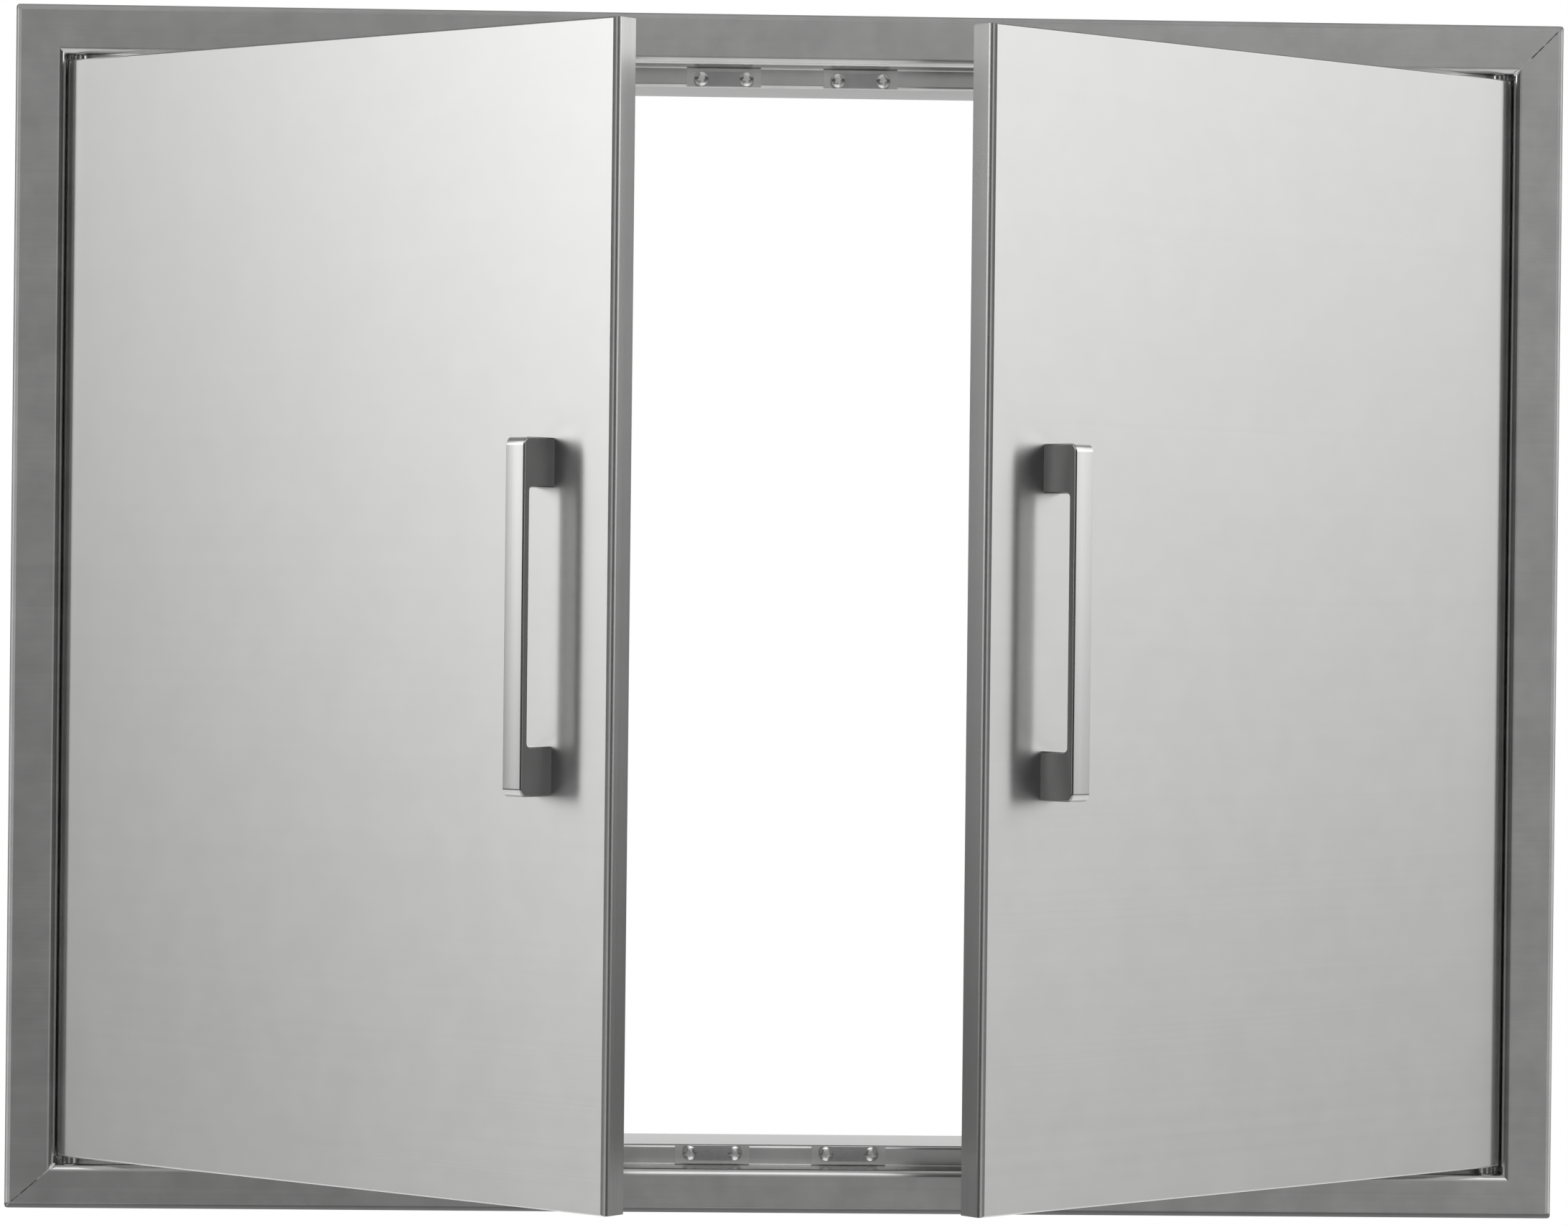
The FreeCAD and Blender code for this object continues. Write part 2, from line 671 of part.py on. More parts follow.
for item in doc.Objects:
    if "Invalid" in item.State or "Error" in item.State:
        raise RuntimeError(item.Name + " failed: " + ", ".join(item.State))
for piece in pieces:
    if piece.Shape.isNull() or not piece.Shape.isValid() or not piece.Shape.Solids:
        raise RuntimeError(piece.Label + " has no sound solid")

os.makedirs("parts", exist_ok=True)
for piece in pieces:
    piece.Shape.exportStep(os.path.join("parts", piece.Label + ".step"))
    print("%-32s %2d solids %12.1f mm3" % (piece.Label, len(piece.Shape.Solids), piece.Shape.Volume))
print(len(pieces), "pieces written")
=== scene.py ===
import json
import math
import random

import bmesh
import bpy
from mathutils import Matrix, Vector

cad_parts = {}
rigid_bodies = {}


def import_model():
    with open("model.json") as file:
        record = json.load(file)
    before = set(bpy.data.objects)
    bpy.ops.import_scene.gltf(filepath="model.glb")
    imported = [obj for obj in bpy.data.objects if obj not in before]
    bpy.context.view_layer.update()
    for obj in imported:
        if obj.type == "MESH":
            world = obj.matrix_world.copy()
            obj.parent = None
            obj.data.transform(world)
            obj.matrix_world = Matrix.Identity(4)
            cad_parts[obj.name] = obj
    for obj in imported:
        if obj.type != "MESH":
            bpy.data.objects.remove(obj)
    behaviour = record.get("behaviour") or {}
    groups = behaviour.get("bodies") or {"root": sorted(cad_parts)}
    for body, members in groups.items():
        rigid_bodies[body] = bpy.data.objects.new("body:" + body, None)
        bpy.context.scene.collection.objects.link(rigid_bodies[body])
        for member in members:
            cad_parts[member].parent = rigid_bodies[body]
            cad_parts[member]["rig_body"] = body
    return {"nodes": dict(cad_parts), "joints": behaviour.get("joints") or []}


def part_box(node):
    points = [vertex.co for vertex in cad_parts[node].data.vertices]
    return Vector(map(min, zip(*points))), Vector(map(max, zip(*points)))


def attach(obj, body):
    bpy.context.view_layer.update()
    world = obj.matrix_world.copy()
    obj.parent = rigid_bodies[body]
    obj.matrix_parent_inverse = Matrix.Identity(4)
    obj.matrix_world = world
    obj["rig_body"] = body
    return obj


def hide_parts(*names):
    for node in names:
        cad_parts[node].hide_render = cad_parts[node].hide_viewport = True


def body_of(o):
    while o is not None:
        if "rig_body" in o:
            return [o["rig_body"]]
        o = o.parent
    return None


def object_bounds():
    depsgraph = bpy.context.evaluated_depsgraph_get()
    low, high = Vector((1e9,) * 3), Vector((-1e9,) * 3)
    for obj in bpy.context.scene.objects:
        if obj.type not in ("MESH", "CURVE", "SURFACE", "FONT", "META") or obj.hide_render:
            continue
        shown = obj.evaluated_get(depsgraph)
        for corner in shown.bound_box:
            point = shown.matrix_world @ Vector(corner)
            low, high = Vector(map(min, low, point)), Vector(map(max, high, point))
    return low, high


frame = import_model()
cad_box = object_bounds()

MM = 0.001
SIDES = ("left", "right")
LEVELS = ("upper", "lower")
LOWEST, HIGHEST = (Vector(corner) for corner in cad_box)

# Distance within which the vertices of a CAD mesh count as one

MERGE = 0.005 * MM


def add_object(name, data):
    item = bpy.data.objects.new(name, data)
    bpy.context.scene.collection.objects.link(item)
    return item


def finished_mesh(name, mesh):
    """Mesh data made from a bmesh, which is freed."""
    data = bpy.data.meshes.new(name)
    mesh.to_mesh(data)
    mesh.free()
    return data


def node_mesh(node):
    """A bmesh copy of a CAD node, its faces joined at the vertices that they share."""
    mesh = bmesh.new()
    mesh.from_mesh(frame["nodes"][node].data)
    bmesh.ops.remove_doubles(mesh, verts=mesh.verts, dist=MERGE)
    return mesh


def smooth_shading(data, crease):
    """Smooth faces, with sharp edges where they turn by more degrees than the crease."""
    data.shade_smooth()
    data.set_sharp_from_angle(angle=math.radians(crease))


# Image that the camera's numbers refer to, in pixels, and the sensor's width in millimetres

IMAGE_WIDE = 2184
FOCAL_PIXELS = 7066.0
SENSOR_WIDE = 36.0

# Camera: place in metres, then turns in degrees about Z, X and Y, looking along +Y

CAMERA_PLACE = Vector((-0.086, -2.586, 0.012))
CAMERA_YAW = -1.870
CAMERA_PITCH = -0.246
CAMERA_ROLL = -0.635


def build_camera():
    data = bpy.data.cameras.new("camera")
    data.sensor_fit = "HORIZONTAL"
    data.sensor_width = SENSOR_WIDE
    data.lens = FOCAL_PIXELS / IMAGE_WIDE * SENSOR_WIDE
    camera = add_object("camera", data)
    turn = (Matrix.Rotation(math.radians(CAMERA_YAW), 3, "Z")
            @ Matrix.Rotation(math.radians(CAMERA_PITCH), 3, "X")
            @ Matrix.Rotation(math.radians(CAMERA_ROLL), 3, "Y"))
    right, forward, up = (Vector(turn.col[i]) for i in range(3))
    facing = Matrix((right, up, -forward)).transposed()
    camera.matrix_world = Matrix.Translation(CAMERA_PLACE) @ facing.to_4x4()
    bpy.context.scene.camera = camera


# Node helpers, and the sockets by which the Mix node blends vectors

MIX_SHARE = 0
MIX_FIRST = 4
MIX_SECOND = 5
MIX_RESULT = 1


class Nodes:
    """Short calls that add and join shader nodes in one tree."""

    def __init__(self, tree):
        self.tree = tree
        tree.nodes.clear()

    def add(self, kind, **settings):
        node = self.tree.nodes.new(kind)
        for name, value in settings.items():
            setattr(node, name, value)
        return node

    def put(self, socket, value):
        """Links the value to the socket where it is a socket itself, and sets it otherwise."""
        if isinstance(value, bpy.types.NodeSocket):
            self.tree.links.new(value, socket)
        else:
            socket.default_value = value

    def math(self, operation, first, second=0.0, third=0.0):
        node = self.add("ShaderNodeMath", operation=operation)
        for socket, value in zip(node.inputs, (first, second, third)):
            self.put(socket, value)
        return node.outputs[0]

    def vector(self, operation, first, second):
        node = self.add("ShaderNodeVectorMath", operation=operation)
        self.put(node.inputs[0], first)
        self.put(node.inputs[1], second)
        return node.outputs["Vector"]

    def split(self, vector):
        node = self.add("ShaderNodeSeparateXYZ")
        self.put(node.inputs[0], vector)
        return node.outputs

    def combine(self, *parts):
        node = self.add("ShaderNodeCombineXYZ")
        for socket, value in zip(node.inputs, parts):
            self.put(socket, value)
        return node.outputs[0]

    def noise(self, vector, scale, detail, roughness):
        node = self.add("ShaderNodeTexNoise", noise_dimensions="3D")
        self.put(node.inputs["Vector"], vector)
        self.put(node.inputs["Scale"], scale)
        self.put(node.inputs["Detail"], detail)
        self.put(node.inputs["Roughness"], roughness)
        return node.outputs["Fac"]

    def spread(self, value, low, high, to_low=0.0, to_high=1.0, smooth=False):
        node = self.add("ShaderNodeMapRange", clamp=True,
                        interpolation_type="SMOOTHSTEP" if smooth else "LINEAR")
        for name, number in (("Value", value), ("From Min", low), ("From Max", high),
                             ("To Min", to_low), ("To Max", to_high)):
            self.put(node.inputs[name], number)
        return node.outputs["Result"]

    def window(self, value, rises, falls):
        """1 between the two ramps, each a pair of places, and 0 outside them."""
        opens = self.spread(value, *rises, smooth=True)
        closes = self.spread(value, *falls, 1.0, 0.0, smooth=True)
        return self.math("MULTIPLY", opens, closes)

    def blend(self, first, second, share):
        """A number that goes from first to second as share goes from 0 to 1."""
        change = self.math("SUBTRACT", second, first)
        return self.math("MULTIPLY_ADD", change, share, first)

    def distance(self, first, second):
        """Length of a way that goes first along one axis and second along another."""
        square = self.math("MULTIPLY", second, second)
        return self.math("SQRT", self.math("MULTIPLY_ADD", first, first, square))

    def mix_vectors(self, share, first, second):
        node = self.add("ShaderNodeMix", data_type="VECTOR")
        self.put(node.inputs[MIX_SHARE], share)
        self.put(node.inputs[MIX_FIRST], first)
        self.put(node.inputs[MIX_SECOND], second)
        return node.outputs[MIX_RESULT]

    def mix_shaders(self, share, first, second):
        node = self.add("ShaderNodeMixShader")
        for socket, value in zip(node.inputs, (share, first, second)):
            self.put(socket, value)
        return node.outputs[0]

    def output(self, kind, shader):
        node = self.add(kind)
        self.put(node.inputs["Surface"], shader)


def new_material(name):
    material = bpy.data.materials.new(name)
    material.use_nodes = True
    return material, Nodes(material.node_tree)


def add_metal(nodes, color, roughness):
    shader = nodes.add("ShaderNodeBsdfPrincipled")
    nodes.put(shader.inputs["Base Color"], color)
    nodes.put(shader.inputs["Metallic"], 1.0)
    nodes.put(shader.inputs["Roughness"], roughness)
    nodes.output("ShaderNodeOutputMaterial", shader.outputs[0])
    return shader


# Grain: lines per metre along and across it, and its way up, a hair off upright for level faces

ALONG_LINES = 2.0
ACROSS_LINES = 1700.0
GRAIN_UP = Vector((0.0, 0.02, 1.0))

# Strip along each door's free edge, brushed upright, by its distance from the hinge

PIVOT = Vector(frame["joints"][0]["pos_m"])
STRIP_FROM = 359.4 * MM
STRIP_STREAK = 0.06


def level_grain(nodes, place, normal):
    """Place as level lines, also round the folds, and the way across them on the surface."""
    x, y, z = nodes.split(place)
    facing_up = nodes.math("ABSOLUTE", nodes.split(normal)["Z"])
    across = nodes.math("MULTIPLY_ADD", y, facing_up, z)
    lines = nodes.combine(nodes.math("MULTIPLY", x, ALONG_LINES),
                          nodes.math("MULTIPLY", y, ALONG_LINES),
                          nodes.math("MULTIPLY", across, ACROSS_LINES))
    beside = nodes.vector("CROSS_PRODUCT", GRAIN_UP, normal)
    return lines, nodes.vector("CROSS_PRODUCT", normal, beside)


def upright_grain(nodes, place, normal):
    """Place as upright lines, and the way across them on the surface."""
    lines = nodes.vector("MULTIPLY", place, (ACROSS_LINES, ACROSS_LINES, ALONG_LINES))
    return lines, nodes.vector("CROSS_PRODUCT", GRAIN_UP, normal)


def free_strip(nodes, place):
    """1 on the strip along a door's free edge, and 0 on the rest of the door."""
    ways = nodes.split(place)
    aside = nodes.math("ADD", nodes.math("ABSOLUTE", ways["X"]), -abs(PIVOT.x))
    depth = nodes.math("ADD", ways["Y"], -PIVOT.y)
    return nodes.math("GREATER_THAN", nodes.distance(aside, depth), STRIP_FROM)


def door_grain(nodes, place, normal):
    """Level lines, but upright ones on the strip along the free edge."""
    strip = free_strip(nodes, place)
    pairs = zip(level_grain(nodes, place, normal), upright_grain(nodes, place, normal))
    return tuple(nodes.mix_vectors(strip, level, upright) for level, upright in pairs)


# Rounded outer edge of the frame, ground dull, and how much painted shade darkens it: at the top, and at
# the bottom as a painted contact shadow

RIM_FADE = (-3.1 * MM, -2.3 * MM)
RIM_ROUGHNESS = 0.5
TOP_PAINTED_SHADE = 0.3
BOTTOM_PAINTED_SHADE = 0.75


def frame_rim(nodes, place):
    """1 on the frame's outer edge and 0 elsewhere: at the sides, at the top and at the bottom."""
    ways = nodes.split(place)
    beside = nodes.math("ADD", nodes.math("ABSOLUTE", ways["X"]), -HIGHEST.x)
    above = nodes.math("ADD", ways["Z"], -HIGHEST.z)
    below = nodes.math("MULTIPLY_ADD", ways["Z"], -1.0, LOWEST.z)
    return [nodes.spread(past, *RIM_FADE) for past in (beside, above, below)]


# Brushing: fine and broad lines and clouds as scale, detail and roughness, and how they are mixed

FINE = (1.0, 2.0, 0.6)
BROAD = (0.09, 2.0, 0.5)
CLOUDS = (45.0, 3.0, 0.6)
BROAD_SHARE = 0.4
LINES_SHARE = 0.6
LINES_RANGE = (0.3, 0.7)
CLOUDS_RANGE = (0.35, 0.65)
ROUGH_STREAK = 2.0
RELIEF_HIGH = 0.03 * MM

# Worn edges: the pointiness at which they start and end, and how much lighter they are

WORN_RANGE = (0.52, 0.6)
WORN_LIGHTER = 0.08


def steel_shade(nodes, lines, clouds, contrast, cloud, rims):
    """What the colour is multiplied by: streaks, clouds, and painted shade on the rim at the top and
    bottom.
    """
    lighter = nodes.spread(lines, *LINES_RANGE, -1.0, 1.0)
    shade = nodes.math("MULTIPLY_ADD", lighter, contrast, 1.0)
    soft = nodes.spread(clouds, *CLOUDS_RANGE, 1.0 - cloud, 1.0 + cloud)
    shade = nodes.math("MULTIPLY", shade, soft)
    # Painted shade: the rim darkened at the top, and at the bottom where a contact shadow falls
    for rim, darker in zip(rims[1:], (TOP_PAINTED_SHADE, BOTTOM_PAINTED_SHADE)):
        shade = nodes.math("MULTIPLY", shade, nodes.math("MULTIPLY_ADD", rim, -darker, 1.0))
    return shade


def steel_roughness(nodes, lines, clouds, roughness, streak, rims):
    """Roughness that varies a little with the lines and clouds, and is higher on the rim."""
    uneven = nodes.blend(clouds, lines, LINES_SHARE)
    swing = ROUGH_STREAK * streak
    rough = nodes.spread(uneven, *LINES_RANGE, roughness * (1.0 - swing), roughness * (1.0 + swing))
    sides, top, bottom = rims
    rim = nodes.math("MAXIMUM", nodes.math("MAXIMUM", top, bottom), sides)
    return nodes.blend(rough, RIM_ROUGHNESS, rim)


def brushed_steel(name, color, grain, roughness, anisotropic, streak, cloud, relief):
    """Brushed stainless: fine lines along one way, soft clouds, and brighter worn edges."""
    material, nodes = new_material(name)
    place = nodes.add("ShaderNodeTexCoord").outputs["Object"]
    geometry = nodes.add("ShaderNodeNewGeometry").outputs
    scaled, across = grain(nodes, place, geometry["Normal"])
    fine = nodes.noise(scaled, *FINE)
    lines = nodes.blend(fine, nodes.noise(scaled, *BROAD), BROAD_SHARE)
    clouds = nodes.noise(place, *CLOUDS)
    contrast = streak
    if grain is door_grain:
        contrast = nodes.math("MULTIPLY_ADD", free_strip(nodes, place), STRIP_STREAK, streak)
    rims = frame_rim(nodes, place)
    shade = steel_shade(nodes, lines, clouds, contrast, cloud, rims)
    worn = nodes.spread(geometry["Pointiness"], *WORN_RANGE, 0.0, WORN_LIGHTER)
    tint = nodes.combine(*(nodes.math("MULTIPLY_ADD", shade, part, worn) for part in color))
    bump = nodes.add("ShaderNodeBump")
    nodes.put(bump.inputs["Strength"], relief)
    nodes.put(bump.inputs["Distance"], RELIEF_HIGH)
    nodes.put(bump.inputs["Height"], fine)
    shader = add_metal(nodes, tint, steel_roughness(nodes, lines, clouds, roughness, streak, rims))
    nodes.put(shader.inputs["Normal"], bump.outputs[0])
    nodes.put(shader.inputs["Anisotropic"], anisotropic)
    nodes.put(shader.inputs["Tangent"], across)
    return material


# Finishes by node or use: name, colour, grain, roughness, anisotropy, streaks, clouds and relief

STEELS = {
    "frame_": ("frame_steel", (0.60, 0.60, 0.595), level_grain, 0.18, 0.8, 0.035, 0.055, 0.05),
    "_outer_pan": ("door_steel", (0.64, 0.64, 0.635), door_grain, 0.25, 0.9, 0.012, 0.012, 0.02),
    "_back_liner": ("liner_steel", (0.56, 0.56, 0.555), level_grain, 0.24, 0.8, 0.04, 0.05, 0.05),
    "_handle": ("handle_front", (0.70, 0.70, 0.695), upright_grain, 0.20, 0.8, 0.06, 0.02, 0.1),
    # The handle's sides: the same steel as its front, made darker as painted shade
    "handle_sides": ("handle_steel", (0.38, 0.38, 0.38), upright_grain, 0.14, 0.3, 0.03, 0.03, 0.05),
    "_pivot_": ("bright_steel", (0.70, 0.70, 0.70), upright_grain, 0.16, 0.2, 0.03, 0.03, 0.05),
    "catch_plate": ("catch_plate", (0.68, 0.68, 0.67), level_grain, 0.26, 0.5, 0.04, 0.08, 0.1),
    "catch_magnet": ("magnet", (0.44, 0.44, 0.445), level_grain, 0.28, 0.3, 0.06, 0.1, 0.1),
    # Screw heads: plated steel, its colour raised as a painted sheen so that the heads look bright
    "screw_heads": ("nickel_with_painted_sheen", (0.93, 0.93, 0.92), upright_grain, 0.2, 0.0, 0.05, 0.1, 0.1),
    "_strike": ("strike_steel", (0.56, 0.56, 0.55), level_grain, 0.35, 0.6, 0.05, 0.08, 0.1),
}


def dress_nodes(finishes):
    for name, piece in frame["nodes"].items():
        key = next(part for part in STEELS if part in name)
        piece.data.materials.clear()
        piece.data.materials.append(finishes[key])


# Handles: the solid's own form with round polished edges in place of its chamfers, and its faces that look
# sideways given a darker copy of the steel as painted shade

SHADED_SIDE_SHARE = 0.3
FLAT_ANGLE = 1
ROUNDING_WEIGHT = 100


def outward(side):
    """Way that a door's face looks at rest: the closed door's way, turned open about its hinge."""
    joint = next(joint for joint in frame["joints"] if joint["name"] == side + "_door_hinge")
    opened = math.radians(-joint["range_deg"][0])
    return Matrix.Rotation(opened, 3, Vector(joint["axis"])) @ Vector((0.0, -1.0, 0.0))


def build_handle(side, front_finish, side_painted_shade):
    node = side + "_door_handle"
    mesh = node_mesh(node)
    flat = math.radians(FLAT_ANGLE)
    bmesh.ops.dissolve_limit(mesh, angle_limit=flat, verts=mesh.verts, edges=mesh.edges)
    sideways = outward(side).cross((0.0, 0.0, 1.0))
    for face in mesh.faces:
        face.smooth = True
        # Faces that look sideways get the second finish, the handle's steel darkened as painted shade
        face.material_index = 1 if abs(face.normal.dot(sideways)) > SHADED_SIDE_SHARE else 0
    data = finished_mesh(side + "_handle_bar", mesh)
    data.materials.append(front_finish)
    data.materials.append(side_painted_shade)
    handle = add_object(side + "_handle_bar", data)
    rounding = handle.modifiers.new("rounding", "WEIGHTED_NORMAL")
    rounding.weight = ROUNDING_WEIGHT
    rounding.keep_sharp = False
    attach(handle, body_of(frame["nodes"][node])[0])
    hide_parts(node)


# Face of the frame: its front, and its widths at the sides, at the top and at the bottom

FACE_FRONT = -8.0 * MM
OPENING_SIDE = HIGHEST.x - 25.2 * MM
OPENING_TOP = HIGHEST.z - 25.4 * MM
OPENING_BOTTOM = LOWEST.z + 22.4 * MM

# Corner welds: each covers a seam between the frame's halves, from outer corner to opening

CORNERS = {
    "upper": (Vector((HIGHEST.x, 0.0, HIGHEST.z)), Vector((OPENING_SIDE, FACE_FRONT, OPENING_TOP))),
    "lower": (Vector((LOWEST.x, 0.0, LOWEST.z)), Vector((-OPENING_SIDE, FACE_FRONT, OPENING_BOTTOM))),
}
SEAM_WAY = Vector((1.0, 0.0, -1.0)).normalized()
SEAM_ALIGNED = 0.98
SEAM_NEAR = 60 * MM
WELD_WIDE = 0.5 * MM
WELD_PROUD = 0.03 * MM
WELD_CREASE = 40
WELD_SEED = 7

# Run of weld at the opening's corner: half its sizes, its unevenness, place and turn

SPOT_SIZE = Vector((2.1, 0.45, 0.7)) * MM
SPOT_UNEVEN = (0.9, 1.08)
SPOT_OUT = 1.4 * MM
SPOT_TURN = Matrix.Rotation(math.radians(-45), 3, "Y")
SPOT_FINENESS = 3

# Weld's look: beads as scale, detail and roughness, and how far past the opening a painted highlight
# reaches and how much lighter it makes the weld

BEADS = (260.0, 2.0, 0.5)
BEADS_RANGE = (0.3, 0.7)
WELD_ROUGHNESS = (0.3, 0.45)
WELD_RANGE = (0.42, 0.75)
WELD_SHADES = (0.1, 0.85)
PAINTED_HIGHLIGHT_REACH = (2 * MM, 9 * MM)
PAINTED_HIGHLIGHT_LIGHTER = 0.5


def weld_steel():
    """Ground weld left in a seam: dark and uneven, with a painted highlight near the opening's corner."""
    material, nodes = new_material("weld_steel")
    place = nodes.add("ShaderNodeTexCoord").outputs["Object"]
    beads = nodes.noise(place, *BEADS)
    past_side = nodes.math("ADD", nodes.math("ABSOLUTE", nodes.split(place)["X"]), -OPENING_SIDE)
    # Painted highlight: the weld made lighter near the opening's corner, where the ends of the bends catch
    # the light
    painted_highlight = nodes.spread(past_side, *PAINTED_HIGHLIGHT_REACH, 1.0, 0.0)
    lighter = nodes.math("MULTIPLY_ADD", painted_highlight, PAINTED_HIGHLIGHT_LIGHTER, beads)
    shade = nodes.spread(lighter, *WELD_RANGE, *WELD_SHADES)
    rough = nodes.spread(beads, *BEADS_RANGE, *WELD_ROUGHNESS)
    add_metal(nodes, nodes.combine(shade, shade, shade), rough)
    return material


def is_seam_end(face, corner):
    place = face.calc_center_median() - corner
    return face.normal.dot(SEAM_WAY) > SEAM_ALIGNED and max(abs(place.x), abs(place.z)) < SEAM_NEAR


def seam_mesh(corner):
    """Slice of the folded sheet, a little wider than the seam, grown from one half's end faces."""
    mesh = node_mesh("frame_upper_left_half")
    other = [face for face in mesh.faces if not is_seam_end(face, corner)]
    bmesh.ops.delete(mesh, geom=other, context="FACES")
    bmesh.ops.translate(mesh, verts=mesh.verts, vec=SEAM_WAY * -WELD_WIDE / 4)
    grown = bmesh.ops.extrude_face_region(mesh, geom=mesh.faces[:], use_keep_orig=True)["geom"]
    moved = [item for item in grown if isinstance(item, bmesh.types.BMVert)]
    bmesh.ops.translate(mesh, verts=moved, vec=SEAM_WAY * WELD_WIDE)
    bmesh.ops.recalc_face_normals(mesh, faces=mesh.faces)
    for vertex, normal in [(vertex, vertex.normal.copy()) for vertex in mesh.verts]:
        vertex.co += normal * WELD_PROUD
        vertex.co.y = min(vertex.co.y, HIGHEST.y)
    return mesh


def add_spot(mesh, corner, inner, chance):
    """Uneven run of weld at the corner of the opening, along the seam."""
    out = Vector((corner.x - inner.x, 0.0, corner.z - inner.z)).normalized()
    made = bmesh.ops.create_icosphere(mesh, subdivisions=SPOT_FINENESS, radius=1.0)["verts"]
    for vertex in made:
        lump = SPOT_TURN @ (vertex.co * SPOT_SIZE * chance.uniform(*SPOT_UNEVEN))
        vertex.co = lump + inner + out * SPOT_OUT


def build_welds(finish):
    chance = random.Random(WELD_SEED)
    for level, (corner, inner) in CORNERS.items():
        mesh = seam_mesh(corner)
        add_spot(mesh, corner, inner, chance)
        data = finished_mesh("corner_weld_" + level, mesh)
        smooth_shading(data, WELD_CREASE)
        data.materials.append(finish)
        weld = add_object("corner_weld_" + level, data)
        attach(weld, "frame")


# Catch screws: low pan heads with a cross recess, two on each magnet

HEAD_RADIUS = 3.5 * MM
HEAD_HIGH = 0.7 * MM
HEAD_RIM = 0.1 * MM
HEAD_RINGS = 9
HEAD_STEPS = 32
HEAD_CREASE = 35
DOME_POWER = 2.6
CROSS_LONG = 1.9 * MM
CROSS_WIDE = 0.45 * MM
CROSS_DEEP = 0.5 * MM
SCREW_PITCH = 23 * MM
SCREW_SEED = 4


def circle(radius, steps, height=0.0):
    turns = [2 * math.pi * step / steps for step in range(steps)]
    return [(radius * math.cos(turn), radius * math.sin(turn), height) for turn in turns]


def head_mesh():
    """Low domed head with a rim, standing along +Z."""
    mesh = bmesh.new()
    rows = [(HEAD_RADIUS, 0.0), (HEAD_RADIUS, HEAD_RIM)]
    for step in range(1, HEAD_RINGS):
        share = 1.0 - step / HEAD_RINGS
        rise = (HEAD_HIGH - HEAD_RIM) * (1.0 - share ** DOME_POWER)
        rows.append((HEAD_RADIUS * share, HEAD_RIM + rise))
    rings = [[mesh.verts.new(place) for place in circle(radius, HEAD_STEPS, height)]
             for radius, height in rows]
    for low, high in zip(rings, rings[1:]):
        for i in range(HEAD_STEPS):
            j = (i + 1) % HEAD_STEPS
            mesh.faces.new((low[i], low[j], high[j], high[i]))
    mesh.faces.new(rings[-1])
    mesh.faces.new(list(reversed(rings[0])))
    return finished_mesh("catch_screw", mesh)


def cross_mesh():
    mesh = bmesh.new()
    for long_x, long_y in ((CROSS_LONG, CROSS_WIDE), (CROSS_WIDE, CROSS_LONG)):
        size = Matrix.Diagonal((2 * long_x, 2 * long_y, 2 * CROSS_DEEP, 1.0))
        bmesh.ops.create_cube(mesh, size=1.0, matrix=Matrix.Translation((0, 0, HEAD_HIGH)) @ size)
    return finished_mesh("cross", mesh)


def cut_head(finish):
    """Head less its cross, as one mesh that all the screws share."""
    head = add_object("head", head_mesh())
    cross = add_object("cross", cross_mesh())
    cut = head.modifiers.new("cut", "BOOLEAN")
    cut.operation = "DIFFERENCE"
    cut.object = cross
    cut.use_self = True
    shaped = head.evaluated_get(bpy.context.evaluated_depsgraph_get())
    data = bpy.data.meshes.new_from_object(shaped)
    data.materials.clear()
    data.materials.append(finish)
    smooth_shading(data, HEAD_CREASE)
    for item in (head, cross):
        bpy.data.objects.remove(item)
    return data


def build_screws(finish):
    data = cut_head(finish)
    chance = random.Random(SCREW_SEED)
    facing = Matrix.Rotation(math.radians(90), 4, "X")
    for node in ["_".join(("catch_magnet", level, side)) for level in LEVELS for side in SIDES]:
        low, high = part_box(node)
        centre = (low + high) / 2
        for number, way in enumerate((-1, 1), 1):
            screw = add_object(node.replace("magnet", "screw") + "_" + str(number), data)
            place = Vector((centre.x + way * SCREW_PITCH / 2, low.y, centre.z))
            spin = Matrix.Rotation(chance.uniform(0, math.pi / 2), 4, "Z")
            screw.matrix_world = Matrix.Translation(place) @ facing @ spin
            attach(screw, body_of(frame["nodes"][node])[0])


# Floor: a pale disc below the object that fades into the backdrop

FLOOR_BELOW = 135 * MM
FLOOR_RADIUS = 0.7
FLOOR_MIDDLE = 0.15
FLOOR_FADE = (0.28, 0.65)
FLOOR_WHITE = 0.85
FLOOR_COLOR = (0.95, 0.95, 0.95, 1.0)
FLOOR_STEPS = 96


def background_rays(nodes):
    """Two sockets: 1 for the camera's rays, and 1 for the reflected and refracted ones."""
    path = nodes.add("ShaderNodeLightPath").outputs
    return path["Is Camera Ray"], nodes.math("MAXIMUM", path["Is Glossy Ray"], path["Is Transmission Ray"])


def floor_material():
    """Pale matt, mostly white to the camera and in reflections, and clear past its fade."""
    material, nodes = new_material("floor")
    ways = nodes.split(nodes.add("ShaderNodeTexCoord").outputs["Object"])
    matt = nodes.add("ShaderNodeBsdfDiffuse")
    nodes.put(matt.inputs["Color"], FLOOR_COLOR)
    glow = nodes.add("ShaderNodeEmission")
    nodes.put(glow.inputs["Strength"], 1.0)
    seen = nodes.math("MAXIMUM", *background_rays(nodes))
    white = nodes.mix_shaders(nodes.math("MULTIPLY", seen, FLOOR_WHITE), matt.outputs[0], glow.outputs[0])
    faded = nodes.spread(nodes.distance(ways["X"], ways["Y"]), *FLOOR_FADE, smooth=True)
    clear = nodes.add("ShaderNodeBsdfTransparent").outputs[0]
    nodes.output("ShaderNodeOutputMaterial", nodes.mix_shaders(faded, white, clear))
    return material


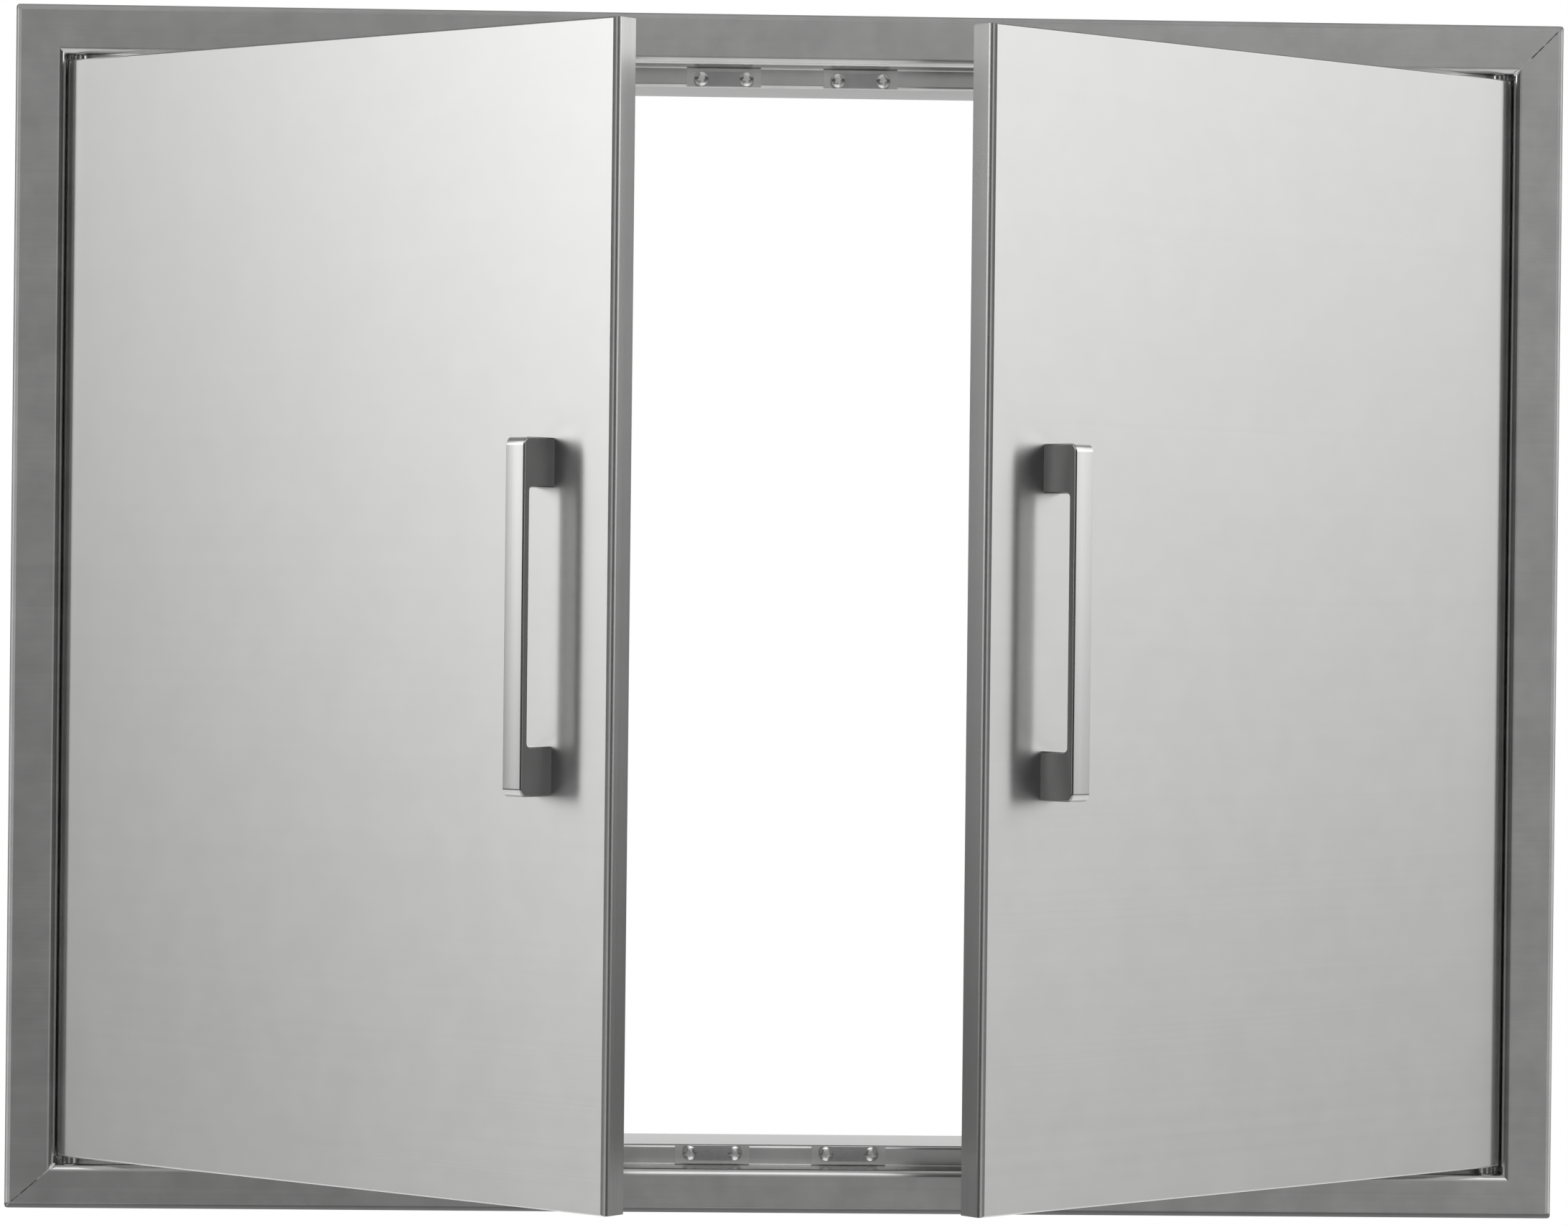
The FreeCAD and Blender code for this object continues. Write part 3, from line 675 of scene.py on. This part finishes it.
def build_floor():
    mesh = bpy.data.meshes.new("floor")
    mesh.from_pydata(circle(FLOOR_RADIUS, FLOOR_STEPS), [], [tuple(range(FLOOR_STEPS))])
    mesh.materials.append(floor_material())
    floor = add_object("floor", mesh)
    floor.location = (0.0, FLOOR_MIDDLE, LOWEST.z - FLOOR_BELOW)


# Studio, by turn from the camera's side and by height above level, in degrees: its dim room

ROOM = 0.06
ROOM_SIDE = 0.25
ROOM_SIDE_TURN = ((94.0, 104.0), (140.0, 152.0))

# Field in front of the object, lighter upwards and to the right

FRONT_LEVEL = 0.288
FRONT_PER_HEIGHT = 0.011
FRONT_PER_TURN = 0.008
FRONT_TURN = (10.5, 15.0)

# Panel above the camera, ground, ceiling, and backdrop behind the object

PANEL_LEVEL = 1.4
PANEL_TURN = (40.0, 70.0)
PANEL_HEIGHT = ((24.0, 32.0), (48.0, 58.0))
GROUND_LEVEL = 0.8
GROUND_HEIGHT = (-11.0, -24.0)
CEILING_LEVEL = 0.5
CEILING_HEIGHT = (60.0, 75.0)
BACK_TURN = (166.0, 174.0)
BACK_HEIGHT = ((-11.0, -4.5), (12.0, 18.0))

# Softboxes that the open doors reflect: two ramps of turns, then the level below and above

LEFT_BOX = ((-98.0, -74.0), (-76.0, -62.0), 0.15, 2.66)
RIGHT_BOX = ((62.0, 76.0), (60.0, 130.0), 0.3, 2.2)
BOX_HEIGHT = ((-60.0, -40.0), (50.0, 70.0))
BOX_RAMP = 9.0


def room_level(nodes, turn, height):
    """Dim room, lighter at its sides, with the field in front."""
    aside = nodes.math("ABSOLUTE", turn)
    front = nodes.math("MULTIPLY_ADD", height, FRONT_PER_HEIGHT, FRONT_LEVEL)
    front = nodes.math("MAXIMUM", nodes.math("MULTIPLY_ADD", turn, FRONT_PER_TURN, front), ROOM)
    room = nodes.math("MULTIPLY_ADD", nodes.window(aside, *ROOM_SIDE_TURN), ROOM_SIDE - ROOM, ROOM)
    return nodes.blend(room, front, nodes.spread(aside, *FRONT_TURN, 1.0, 0.0, smooth=True))


def studio_level(nodes, turn, height):
    """The room with its panel, softboxes, ground and ceiling."""
    ahead = nodes.spread(nodes.math("ABSOLUTE", turn), *PANEL_TURN, 1.0, 0.0, smooth=True)
    panel = nodes.math("MULTIPLY", ahead, nodes.window(height, *PANEL_HEIGHT))
    level = nodes.blend(room_level(nodes, turn, height), PANEL_LEVEL, panel)
    for rises, falls, low, high in (LEFT_BOX, RIGHT_BOX):
        beside = nodes.math("MULTIPLY", nodes.window(turn, rises, falls), nodes.window(height, *BOX_HEIGHT))
        softbox = nodes.spread(height, -BOX_RAMP, BOX_RAMP, low, high, smooth=True)
        level = nodes.blend(level, softbox, beside)
    for heights, glow in ((GROUND_HEIGHT, GROUND_LEVEL), (CEILING_HEIGHT, CEILING_LEVEL)):
        level = nodes.blend(level, glow, nodes.spread(height, *heights, smooth=True))
    return level


def backdrop_share(nodes, turn, height):
    """1 where the white backdrop shows: to the camera all round, and in reflections behind."""
    behind = nodes.spread(nodes.math("ABSOLUTE", turn), *BACK_TURN, smooth=True)
    backdrop = nodes.math("MULTIPLY", behind, nodes.window(height, *BACK_HEIGHT))
    camera, shown = background_rays(nodes)
    return nodes.math("MAXIMUM", camera, nodes.math("MULTIPLY", shown, backdrop))


def build_world():
    world = bpy.data.worlds.new("studio")
    bpy.context.scene.world = world
    world.use_nodes = True
    nodes = Nodes(world.node_tree)
    x, y, z = nodes.split(nodes.add("ShaderNodeTexCoord").outputs["Generated"])
    turn = nodes.math("DEGREES", nodes.math("ARCTAN2", x, nodes.math("MULTIPLY", y, -1.0)))
    height = nodes.math("DEGREES", nodes.math("ARCSINE", z))
    level = nodes.blend(studio_level(nodes, turn, height), 1.0, backdrop_share(nodes, turn, height))
    background = nodes.add("ShaderNodeBackground")
    nodes.put(background.inputs["Color"], (1.0, 1.0, 1.0, 1.0))
    nodes.put(background.inputs["Strength"], level)
    nodes.output("ShaderNodeOutputWorld", background.outputs[0])


# Soft lamp above and behind the object, aimed at its middle: sizes in metres, power in watts

LAMP_PLACE = Vector((0.0, 0.6, 2.6))
LAMP_WIDE = 2.4
LAMP_DEEP = 1.2
LAMP_POWER = 26


def build_lamp():
    data = bpy.data.lights.new("overhead", "AREA")
    data.shape = "RECTANGLE"
    data.size = LAMP_WIDE
    data.size_y = LAMP_DEEP
    data.energy = LAMP_POWER
    lamp = add_object("overhead", data)
    lamp.visible_glossy = False
    lamp.location = LAMP_PLACE
    lamp.rotation_euler = (-LAMP_PLACE).to_track_quat("-Z", "Y").to_euler()


finishes = {key: brushed_steel(*values) for key, values in STEELS.items()}
build_camera()
build_world()
build_lamp()
build_floor()
dress_nodes(finishes)
for side in SIDES:
    build_handle(side, finishes["_handle"], finishes["handle_sides"])
build_screws(finishes["screw_heads"])
build_welds(weld_steel())
bpy.context.scene.view_settings.view_transform = "Standard"
